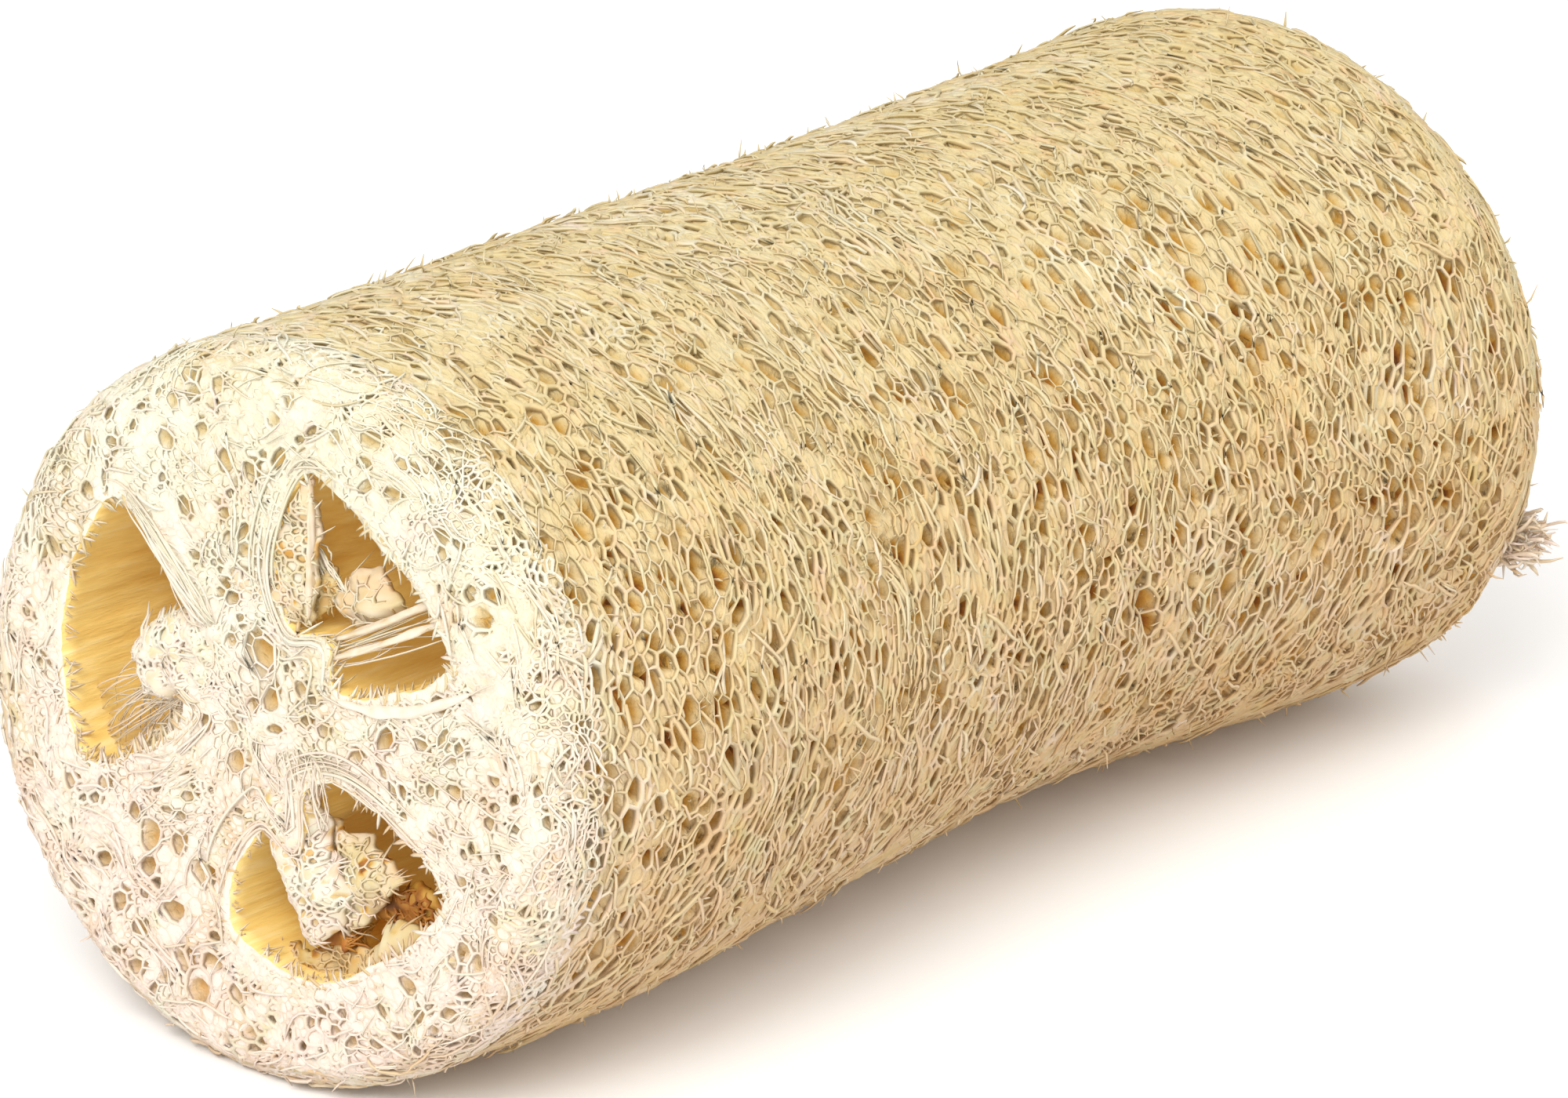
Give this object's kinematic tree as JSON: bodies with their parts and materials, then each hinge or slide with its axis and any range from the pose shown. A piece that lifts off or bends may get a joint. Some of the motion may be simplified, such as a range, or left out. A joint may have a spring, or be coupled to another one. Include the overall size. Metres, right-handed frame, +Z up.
{
  "type": "natural loofah sponge",
  "caption": "Dried loofah gourd skeleton cut to length: a round net of straw fibres with open lengthwise seed chambers.",
  "frame": {"origin": "middle of the bounding box's underside, on the surface that the sponge lies on", "axes": "+X along the length towards the rounded rear end, with the cut face with its open chambers at -X, +Z up"},
  "size_m": [0.157, 0.0772, 0.072],
  "materials": {
    "loofah_fibre": "matte dried plant fibre, pale straw outside, cream on the cut face and amber inside the pores and chambers"
  },
  "bodies": {
    "root": {"loofah_sponge": "loofah_fibre"}
  },
  "joints": []
}
